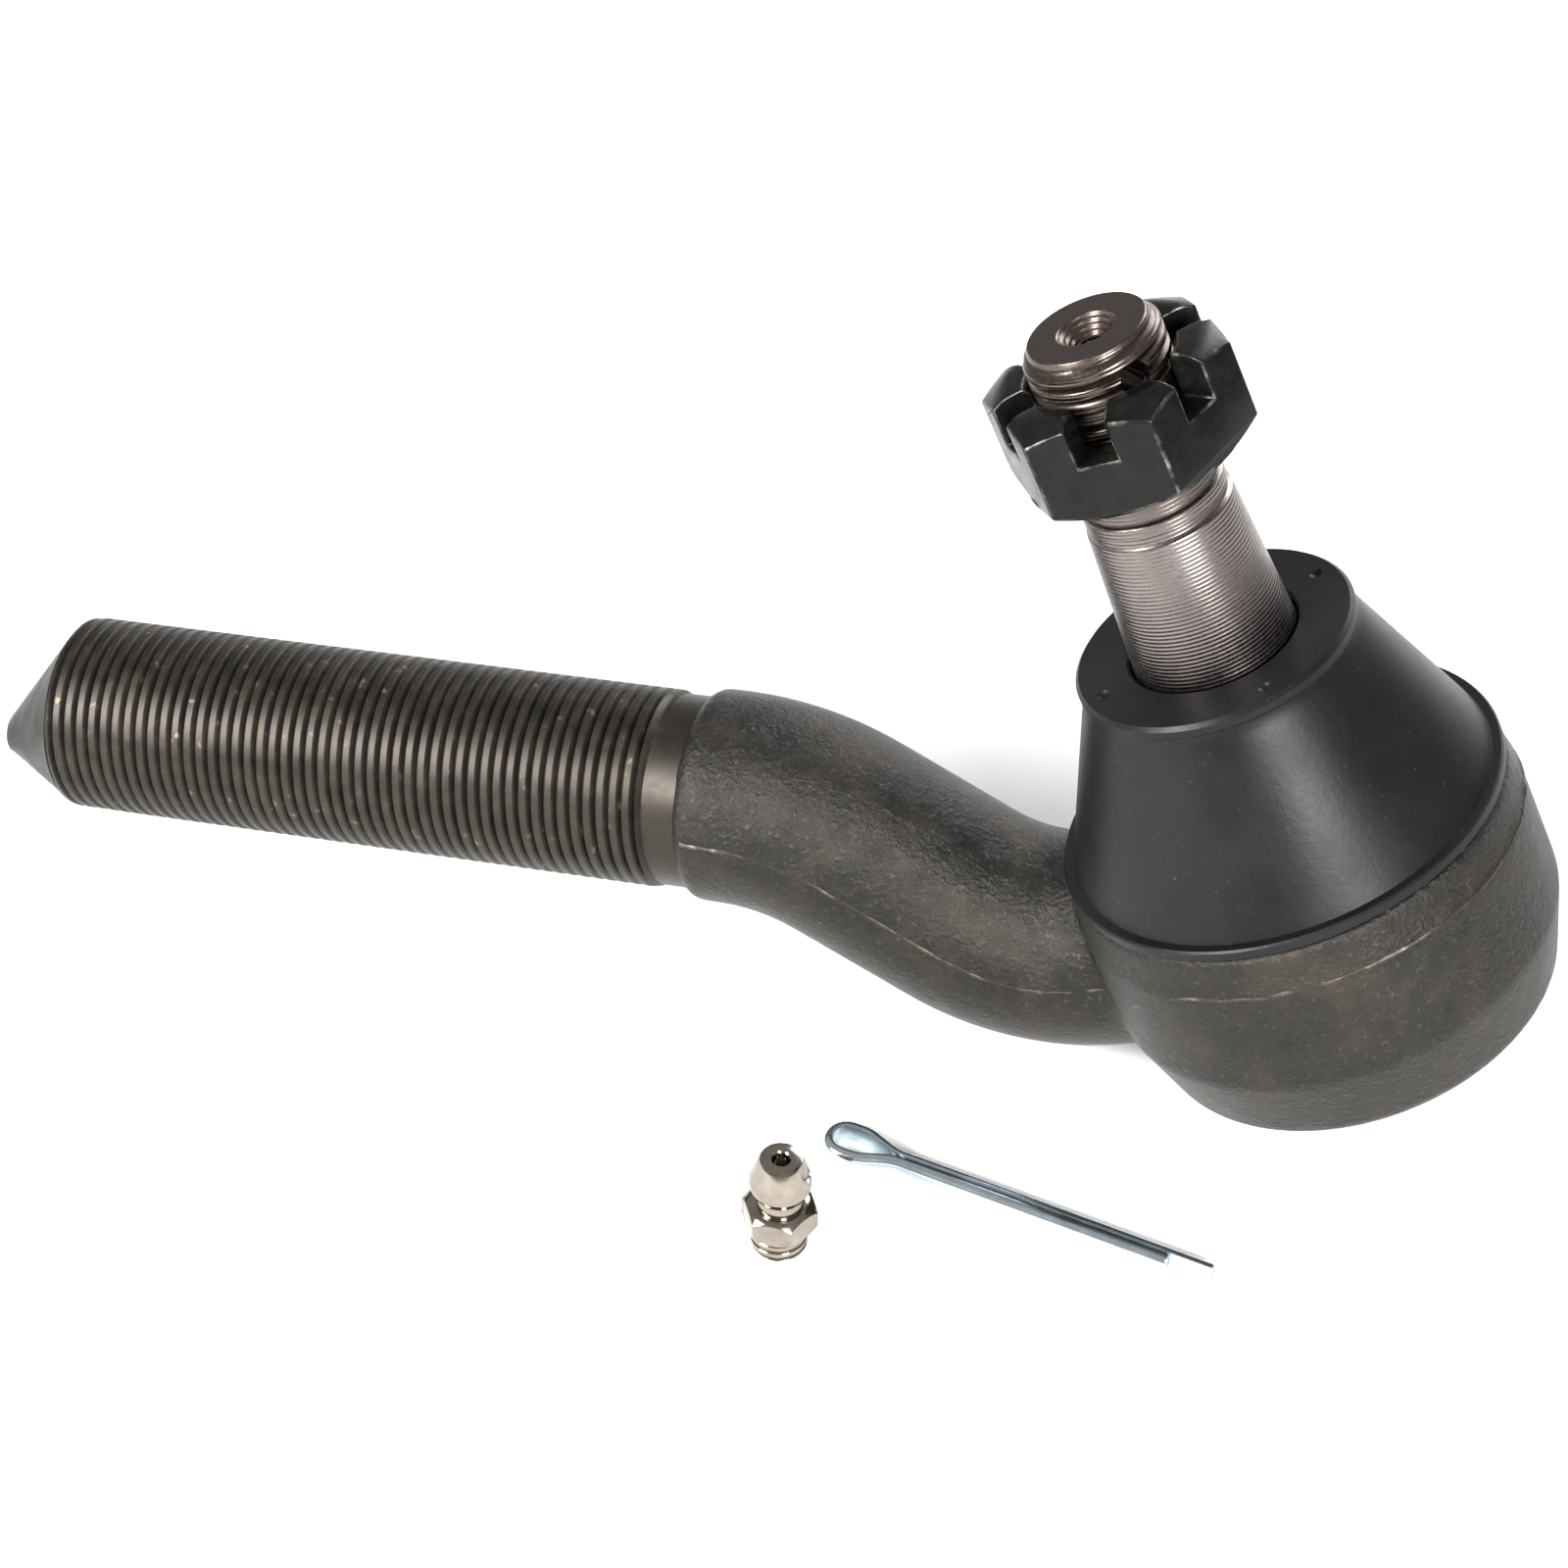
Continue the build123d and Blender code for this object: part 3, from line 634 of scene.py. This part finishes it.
def flash_line(sizes, normal, corners, radii):
    """Low wavy bead left by the trimmed flash, along both sides of the arm and round the housing."""
    bm = bmesh.new()
    heading = (corners[1] - corners[0]).normalized()
    rise = normal.cross(heading)
    rise = rise if rise.z > 0 else -rise
    # The arm's bead lies on its skin, a little above the middle of its sides
    arm_r, half_width, level, skin = 11.7, 11.45, 2.4, 11.5
    for side in (-1, 1):
        out = (normal * side * half_width + rise * level) / arm_r
        lift = out.cross(heading)
        own = bmesh.new()
        start = corners[0] + heading * 1.2
        section = chain(own, [
            start + out * (skin + high) + lift * wide
            for wide, high in ((-0.35, 0), (-0.1, 0.24), (0.1, 0.24), (0.35, 0))])
        own.edges.new((section[3], section[0]))
        carried(own, list(own.verts) + list(own.edges), [start, *corners[1:]], radii, normal, 0.5)
        add_to(bm, own)
    # The housing's bead runs round its nose, and drops towards the arm's on each side
    own = bmesh.new()
    level_reach, reach, drop = radians(104), radians(152), 8.0
    section = chain(own, [(23.8, 0, 2.45), (24.12, 0, 2.7), (24.12, 0, 2.9), (23.8, 0, 3.15)])
    own.edges.new((section[3], section[0]))
    bmesh.ops.rotate(own, verts=own.verts, cent=(0, 0, 0), matrix=Matrix.Rotation(-reach, 3, "Z"))
    bmesh.ops.spin(
        own, geom=list(own.verts) + list(own.edges), cent=(0, 0, 0), axis=(0, 0, 1), dvec=(0, 0, 0),
        angle=2 * reach, steps=260, use_merge=False, use_duplicate=False)
    close_ends(own)
    for vert in own.verts:
        angle = abs(Vector((1, 0)).angle_signed(vert.co.xy))
        fall = min(1, max(0, (angle - level_reach) / (reach - level_reach)))
        vert.co.z -= drop * fall * fall * (3 - 2 * fall)
    add_to(bm, own)
    # Without a seed the noise starts from the clock, and the bead would differ on every run
    noise.seed_set(7)
    for vert in bm.verts:
        vert.co += 0.12 * noise.noise_vector(vert.co * 0.35) + 0.06 * noise.noise_vector(vert.co * 1.4)
    return bm


def arm_path(sizes):
    """Normal, corners and bend radii of the arm's axis in the socket frame."""
    along = (to_socket.to_3x3() @ shank_out).normalized()
    root = Vector((0, 0, -mm(sizes.shank_drop)))
    slope = tan(sizes.arm_slope)
    rise = -along.z / along.x
    foot = Vector((-mm(sizes.arm_foot), 0, -mm(sizes.arm_drop)))
    knee_x = (foot.z + slope * foot.x - root.z) / (slope - rise)
    knee = Vector((knee_x, 0, root.z - rise * knee_x))
    inside = Vector((-17, 0, foot.z))
    corners = [root + along * mm(sizes.shoulder), knee, foot, inside]
    return Vector((0, 1, 0)), corners, [mm(sizes.upper_bend), mm(sizes.lower_bend)]


class BuildTieRodShank(bpy.types.Operator):
    """Threaded shank with its plain collar and coned point"""

    bl_idname = "tie_rod.shank"
    bl_label = "Threaded shank"

    def execute(self, context):
        sizes = context.scene.tie_rod_forging
        crest, pitch = mm(sizes.thread_r), mm(sizes.thread_pitch)
        depth = 0.7
        half = mm(sizes.thread_length) / 2
        collar_foot = -half - mm(sizes.collar_length)
        point = half + mm(sizes.point_length)
        core = crest - depth
        bm = bmesh.new()
        threaded(bm, crest - 0.01, pitch, depth, -half - 0.2, half + 0.2)
        bar = bmesh.new()
        turned(bar, [
            (0, collar_foot - 8), (mm(sizes.collar_r), collar_foot - 8), (mm(sizes.collar_r), -half - 0.4),
            (core + 0.02, -half + 0.6), (core + 0.02, half - 1.1), (crest - 0.3, half - 0.2),
            (crest - 0.7, half + 0.2), (mm(sizes.point_r) + 0.5, point - 0.9), (mm(sizes.point_r), point - 0.3),
            (1.2, point - 0.2), (1.0, point), (0, point),
        ])
        point_lean = Vector((-2.4, -2.6, 0))
        for vert in bar.verts:
            past = max(0, vert.co.z - half) / (point - half)
            vert.co += point_lean * past
        add_to(bm, bar)
        steel = thread_steel(sizes)
        piece = piece_from(bm, "threaded_shank", shank)
        dressed(shaded(piece, 40), steel, "forged_steel", "root")
        return {"FINISHED"}


class BuildTieRodStud(bpy.types.Operator):
    """Tapered stud with its round head, thread, centre drilling and cross hole"""

    bl_idname = "tie_rod.stud"
    bl_label = "Tapered stud"

    def execute(self, context):
        sizes = context.scene.tie_rod_stud
        crest, pitch = mm(sizes.thread_r), mm(sizes.thread_pitch)
        depth, head_r = 0.8, 10.8
        core = crest - depth
        head = [(head_r * sin(radians(a)), -head_r * cos(radians(a))) for a in range(27, 84, 7)]
        bar = bmesh.new()
        # Round head, neck, relief, taper, two grooves, thread core, rounded end and centre drilling
        turned(bar, [
            (0, -9.9), (4.3, -9.9), *head, (10.75, -1.05), (6.5, -1.05), (6.5, 10.5), (8.2, 14.0),
            (8.2, 24.875), (8.7625, 26.0), (7.56, 45.7), (7.5, 46.2), (7.1, 46.45), (7.1, 47.2), (7.32, 47.45),
            (7.32, 48.6), (6.95, 48.9), (6.95, 49.5), (6.98, 51.8), (core, 52.6), (core, 66.2), (6.15, 66.9),
            (5.9, 67.2), (3.0, 67.2), (1.3, 65.4), (1.2, 63.9), (0, 63.4),
        ], steps=144)
        bm = bmesh.new()
        threaded(bm, crest - 0.01, pitch, depth, 51.6, 66.6)
        add_to(bm, bar)
        piece = piece_from(bm, "tapered_stud", socket)
        lay = Matrix.Translation((0, 0, mm(sizes.hole_up))) @ Matrix.Rotation(sizes.hole_turn, 4, "Z")
        drill = prism(40, mm(sizes.hole_r), 20, lay @ Matrix.Rotation(pi / 2, 4, "Y"))
        cut(piece, piece_from(drill, "drill", socket))
        dressed(shaded(piece, 35), stud_steel(sizes), "machined_steel", "stud", ["ball_stud"])
        return {"FINISHED"}


class BuildTieRodNut(bpy.types.Operator):
    """Castle nut with chamfered corners and a slot across each pair of flats"""

    bl_idname = "tie_rod.nut"
    bl_label = "Castle nut"

    def execute(self, context):
        sizes = context.scene.tie_rod_stud
        half, height = mm(sizes.nut_af) / 2, mm(sizes.nut_height)
        corner = half / cos(pi / 6)
        turn = Matrix.Rotation(sizes.nut_turn, 4, "Z")
        foot = Matrix.Translation((0, 0, mm(sizes.nut_foot)))
        place = socket @ foot
        blank = prism(6, corner, height, Matrix.Translation((0, 0, height / 2)) @ turn)
        nut = piece_from(blank, "castle_nut_body", place)
        lathe = bmesh.new()
        chamfer = (corner - half + 0.15) * tan(radians(30))
        # Shallow chamfer on the underside, rounded castellations on top
        turned(lathe, [
            (0, 0), (half - 0.1, 0), (corner + 0.05, chamfer), (corner + 0.05, height - 1.45),
            (half, height - 0.55), (half - 0.9, height - 0.12), (half - 1.6, height), (0, height),
        ])
        cut(nut, piece_from(lathe, "lathe", place), "INTERSECT")
        bore = bmesh.new()
        turned(bore, [
            (0, -2), (9.3, -2), (7.1, 0.6), (7.1, height - 0.9), (7.9, height + 0.1), (7.9, height + 2),
            (0, height + 2),
        ])
        cut(nut, piece_from(bore, "bore", place))
        for third in range(3):
            slot = bmesh.new()
            bmesh.ops.create_cube(slot, size=1, matrix=(
                Matrix.Translation((0, 0, height)) @ turn @ Matrix.Rotation(third * pi / 3, 4, "Z")
                @ Matrix.Diagonal((60, mm(sizes.slot_width), 2 * mm(sizes.slot_depth), 1))))
            cut(nut, piece_from(slot, "slot", place))
        for material in (black_oxide(), rubbed_edge_and_highlight()):
            nut.data.materials.append(material)
        # The cuts leave tiny edges, which would stop the bevel from reaching its width
        plain = bmesh.new()
        plain.from_mesh(nut.data)
        bmesh.ops.remove_doubles(plain, verts=plain.verts, dist=2e-5)
        bmesh.ops.dissolve_limit(plain, angle_limit=radians(1), verts=plain.verts, edges=plain.edges)
        plain.to_mesh(nut.data)
        plain.free()
        # The bevel's faces take the second material, whose painted highlights brighten every edge of the nut
        finished(nut, ("BEVEL", {
            "width": 0.00022, "segments": 3, "limit_method": "ANGLE", "angle_limit": radians(28),
            "use_clamp_overlap": False, "material": 1}))
        nut.name = "slotted_nut"
        registered(shaded(nut, 40), "black_oxide_steel", "nut", ["castle_nut"])
        return {"FINISHED"}


class BuildTieRodBoot(bpy.types.Operator):
    """Dust boot in two closed rings: a skirt round the housing and a collar round the stud"""

    bl_idname = "tie_rod.boot"
    bl_label = "Dust boot"

    def execute(self, context):
        rubber = boot_rubber(context.scene.tie_rod_stud)
        rim_top, seam, cone_top, top = 8.75, 18.0, 28.6, 30.0
        foot_r, top_r, wall = 22.4, 14.1, 1.7

        def cone_r(height):
            return foot_r + (top_r - foot_r) * (height - rim_top) / (cone_top - rim_top)

        rings = [rim_top + (seam - rim_top) * step / 8 for step in range(9)]
        skirt = bmesh.new()
        turned(
            skirt,
            [(21.0, 7.45), (23.3, 7.45), (23.5, 7.65), (23.5, 8.55), (23.3, 8.75)]
            + [(cone_r(z), z) for z in rings] + [(cone_r(z) - wall, z) for z in reversed(rings)],
            steps=160)
        lower = piece_from(skirt, "boot_skirt", socket)
        rings = [seam + (28.2 - seam) * step / 10 for step in range(11)]
        collar = bmesh.new()
        turned(
            collar,
            [(cone_r(z), z) for z in rings]
            + [(14.25, 28.45), (14.6, 28.8), (14.6, 29.6), (14.2, 30.0), (9.1, top), (8.82, 29.7), (8.85, 27.3)]
            + [(9.1, 27.0)] + [(cone_r(z) - wall, z) for z in reversed(rings) if z < 27.2],
            steps=160)
        upper = piece_from(collar, "boot_collar", socket)
        # Four small moulding pits in the top plate
        for angle in (-143, -51, 42, 132):
            dimple = bmesh.new()
            bmesh.ops.create_uvsphere(
                dimple, u_segments=24, v_segments=16, radius=0.9,
                matrix=Matrix.Rotation(radians(angle), 4, "Z") @ Matrix.Translation((12.4, 0, top + 0.55)))
            cut(upper, piece_from(dimple, "dimple", socket))
        for piece, bodies, low, high in (
            (lower, ("root", "boot"), 9.0, 17.0),
            (upper, ("boot", "swivel"), 18.2, 27.0),
        ):
            dressed(shaded(piece, 40), rubber, "boot_rubber", None, ["dust_boot"])
            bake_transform(piece)
        return {"FINISHED"}


class BuildTieRodPin(bpy.types.Operator):
    """Split pin of half-round wire with its eye and two legs"""

    bl_idname = "tie_rod.pin"
    bl_label = "Split pin"

    def execute(self, context):
        sizes = context.scene.tie_rod_loose
        wire_r, leg, flatness = mm(sizes.pin_r), mm(sizes.pin_gap) / 2, 0.55
        eye_outside = 2.7
        eye = eye_outside - wire_r
        points = [
            (mm(sizes.pin_long), leg), (8.0, leg), (4.4, eye), (wire_r, eye), (wire_r, -eye), (4.4, -eye),
            (8.0, -leg), (mm(sizes.pin_short), -leg),
        ]
        corners = [Vector((x, y, 0)) for x, y in points]
        bm = bmesh.new()
        first = bm.verts.new(corners[0] + Vector((0, 0, wire_r)))
        arc = bmesh.ops.spin(
            bm, geom=[first], cent=corners[0], axis=(1, 0, 0), dvec=(0, 0, 0), angle=-pi, steps=14,
            use_merge=False, use_duplicate=False)
        last = [item for item in arc["geom_last"] if isinstance(item, bmesh.types.BMVert)][0]
        bm.edges.new((last, first))
        for vert in bm.verts:
            vert.co.y = leg + wire_r * (max(0, vert.co.y - leg) / wire_r) ** flatness
        carried(
            bm, list(bm.verts) + list(bm.edges), corners, [6.0, 3.0, 1.45, 1.45, 3.0, 6.0],
            Vector((0, 0, 1)), step=0.5)
        eye_at = Vector((swing_centre.x + sizes.pin_back[0], swing_centre.y + sizes.pin_back[1], sizes.pin_r))
        place = Matrix.Translation(eye_at) @ Matrix.Rotation(sizes.pin_turn, 4, "Z") @ Matrix.Scale(0.001, 4)
        pin = piece_from(bm, "split_pin", place)
        finished(pin, ("BEVEL", {
            "width": 0.00016, "segments": 2, "limit_method": "ANGLE", "angle_limit": radians(50)}))
        zinc = plated("Bright zinc plate on drawn wire", place, sizes.zinc_tint, 0.85, 0.13)
        dressed(shaded(pin, 40), zinc, "zinc_plate", "split_pin", ["cotter_pin"])
        return {"FINISHED"}


class BuildTieRodNipple(bpy.types.Operator):
    """Grease nipple with its thread, hexagon, neck and ball-shaped head"""

    bl_idname = "tie_rod.nipple"
    bl_label = "Grease nipple"

    def execute(self, context):
        sizes = context.scene.tie_rod_loose
        place = (
            Matrix.Translation(nipple_foot) @ Matrix.Rotation(sizes.nipple_turn, 4, "Z")
            @ Matrix.Scale(0.001, 4))
        across_flats = 7.0
        corner = across_flats / sqrt(3)
        bm = bmesh.new()
        # Thread core, neck under the hexagon, ball-shaped head, port and hollow
        turned(bm, [
            (0.9, 0), (2.3, 0), (2.5, 0.25), (2.5, 6.9), (2.45, 7.3), (2.3, 7.7), (2.4, 8.2), (2.75, 8.75),
            (3.1, 9.1), (3.22, 9.4), (3.25, 9.7), (3.25, 10.15), (3.15, 10.45), (2.35, 12.9), (2.2, 13.13),
            (2.0, 13.2), (1.05, 13.2), (0.9, 13.05), (0.9, 11.3), (1.5, 11.3), (1.5, 0.8), (0.9, 0.8),
        ], steps=96)
        threaded(bm, 2.99, 1.0, 0.5, 0.05, 3.1)
        nipple = piece_from(bm, "grease_nipple_body", place)
        blank = prism(6, corner, 10, Matrix.Translation((0, 0, 5)) @ Matrix.Rotation(pi / 6, 4, "Z"))
        hexagon = piece_from(blank, "hexagon", place)
        lathe = bmesh.new()
        turned(lathe, [
            (1.8, 3.4), (corner - 0.6, 3.4), (corner + 0.02, 4.0), (corner + 0.02, 5.9), (3.4, 6.5),
            (3.0, 6.75), (1.8, 6.9),
        ], steps=96)
        cut(hexagon, piece_from(lathe, "lathe", place), "INTERSECT")
        finished(hexagon, ("BEVEL", {
            "width": 0.00012, "segments": 2, "limit_method": "ANGLE", "angle_limit": radians(35)}))
        whole = bmesh.new()
        whole.from_mesh(nipple.data)
        whole.from_mesh(hexagon.data)
        whole.to_mesh(nipple.data)
        whole.free()
        deleted(hexagon)
        nickel = plated("Bright nickel plate on turned steel", place, sizes.nickel_tint, 0.75, 0.13)
        dressed(shaded(nipple, 35), nickel, "nickel_plate", "nipple", ["grease_nipple"])
        return {"FINISHED"}


class BuildTieRodValveSpring(bpy.types.Operator):
    """Coil spring under the nipple's check ball"""

    bl_idname = "tie_rod.valve_spring"
    bl_label = "Valve spring"

    def execute(self, context):
        low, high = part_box("valve_spring")
        coils, wire_r, steps = 6, 0.18, 36
        height = mm(high.z - low.z) - 2 * wire_r - 0.02
        coil_r = mm(high.x - low.x) / 2 - wire_r
        bm = bmesh.new()
        bmesh.ops.create_circle(
            bm, cap_ends=False, radius=wire_r, segments=10,
            matrix=Matrix.Translation((coil_r, 0, wire_r)) @ Matrix.Rotation(pi / 2, 4, "X"))
        bmesh.ops.spin(
            bm, geom=list(bm.verts) + list(bm.edges), cent=(0, 0, 0), axis=(0, 0, 1),
            dvec=(0, 0, height / (coils * steps)), angle=2 * pi * coils, steps=coils * steps,
            use_merge=False, use_duplicate=False)
        close_ends(bm)
        foot = nipple_foot + Vector((0, 0, low.z))
        spring = piece_from(bm, "coiled_valve_spring", Matrix.Translation(foot) @ Matrix.Scale(0.001, 4))
        steel = plated("Hardened spring wire", Matrix.Translation(foot), "#5c5c60", 0.7, 0.3)
        dressed(shaded(spring, 40), steel, "spring_steel", "nipple", ["valve_spring"])
        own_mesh(spring)
        return {"FINISHED"}


class DressTieRodInside(bpy.types.Operator):
    """Finishes of the parts inside the socket and the nipple, and of the closing plate"""

    bl_idname = "tie_rod.inside"
    bl_label = "Inner parts"

    def execute(self, context):
        ground = plated("Ground bearing steel", socket, "#8c8d90", 0.8, 0.22)
        spring = plated("Hardened spring steel, oiled", socket, "#54545a", 0.7, 0.32)
        zinc = plated("Bright zinc plate on pressed steel", socket, "#b9bdbd", 0.75, 0.3)
        for node, material in {
            "upper_bearing_seat": ground, "half_ball_bearing": ground, "pressure_seat": ground,
            "check_ball": ground, "preload_spring": spring, "closing_plate": zinc,
        }.items():
            shown = frame["nodes"][node]
            shown.data.materials.clear()
            shown.data.materials.append(material)
        return {"FINISHED"}


class BuildTieRodStage(bpy.types.Operator):
    """Table, camera and soft studio lights"""

    bl_idname = "tie_rod.stage"
    bl_label = "Stage"

    def execute(self, context):
        stage = context.scene.tie_rod_stage
        bm = bmesh.new()
        bmesh.ops.create_grid(bm, x_segments=1, y_segments=1, size=3.0)
        # A hair below the part, so that the faces that touch it don't flicker
        table_drop = 0.00005
        table = piece_from(bm, "table", Matrix.Translation((0, 0, -table_drop)))
        table.data.materials.append(table_paper(stage.table_tint))

        back = Vector((
            sin(stage.azimuth) * cos(stage.elevation), -cos(stage.azimuth) * cos(stage.elevation),
            sin(stage.elevation)))
        lens = bpy.data.cameras.new("camera")
        lens.lens = stage.lens
        lens.sensor_width = 36
        lens.clip_start = 0.01
        camera = linked("camera", lens)
        camera.location = swing_centre + Vector(stage.aim) + back * stage.distance
        camera.rotation_euler = (
            back.to_track_quat("Z", "Y").to_matrix() @ Matrix.Rotation(stage.roll, 3, "Z")).to_euler()
        context.scene.camera = camera

        for name, place, size, power, colour in (
            ("left softbox", (-0.5, -0.5, 0.45), 0.3, 12, "#ffffff"),
            ("right softbox", (0.45, -0.6, 0.5), 0.25, 11, "#ffffff"),
            ("back softbox", (0.15, 0.8, 0.45), 0.5, 6, "#fbfcff"),
        ):
            lamp = bpy.data.lights.new(name, "AREA")
            lamp.shape = "SQUARE"
            lamp.size = size
            lamp.energy = power
            lamp.color = linear(colour)[:3]
            shown = linked(name, lamp)
            shown.location = place
            shown.rotation_euler = Vector(place).to_track_quat("Z", "Y").to_euler()

        world = bpy.data.worlds.new("studio")
        world.use_nodes = True
        world.node_tree.nodes["Background"].inputs["Color"].default_value = linear("#f4f4f4")
        world.node_tree.nodes["Background"].inputs["Strength"].default_value = 0.45
        context.scene.world = world
        context.scene.view_settings.view_transform = "Standard"
        return {"FINISHED"}


class TieRodPanel(bpy.types.Panel):
    """Buttons and sizes of the tie rod end"""

    bl_idname = "VIEW3D_PT_tie_rod"
    bl_label = "Tie Rod End"
    bl_space_type = "VIEW_3D"
    bl_region_type = "UI"
    bl_category = "Tie Rod End"

    def draw(self, context):
        for operator in operators:
            self.layout.operator(operator.bl_idname)
        for group in settings:
            values = getattr(context.scene, group)
            box = self.layout.box()
            for name in values.__annotations__:
                box.prop(values, name)


operators = (
    BuildTieRodForging, BuildTieRodShank, BuildTieRodStud, BuildTieRodNut, BuildTieRodBoot, BuildTieRodPin,
    BuildTieRodNipple, BuildTieRodValveSpring, DressTieRodInside, BuildTieRodStage,
)
settings = {
    "tie_rod_forging": TieRodForgingSettings,
    "tie_rod_stud": TieRodStudSettings,
    "tie_rod_loose": TieRodLooseSettings,
    "tie_rod_stage": TieRodStageSettings,
}


def register():
    for group, kind in settings.items():
        bpy.utils.register_class(kind)
        setattr(bpy.types.Scene, group, bpy.props.PointerProperty(type=kind))
    for kind in (*operators, TieRodPanel):
        bpy.utils.register_class(kind)


def unregister():
    for kind in reversed((*operators, TieRodPanel)):
        bpy.utils.unregister_class(kind)
    for group, kind in reversed(settings.items()):
        delattr(bpy.types.Scene, group)
        bpy.utils.unregister_class(kind)


def main():
    register()
    for operator in operators:
        family, action = operator.bl_idname.split(".")
        getattr(getattr(bpy.ops, family), action)()


if __name__ == "__main__":
    main()
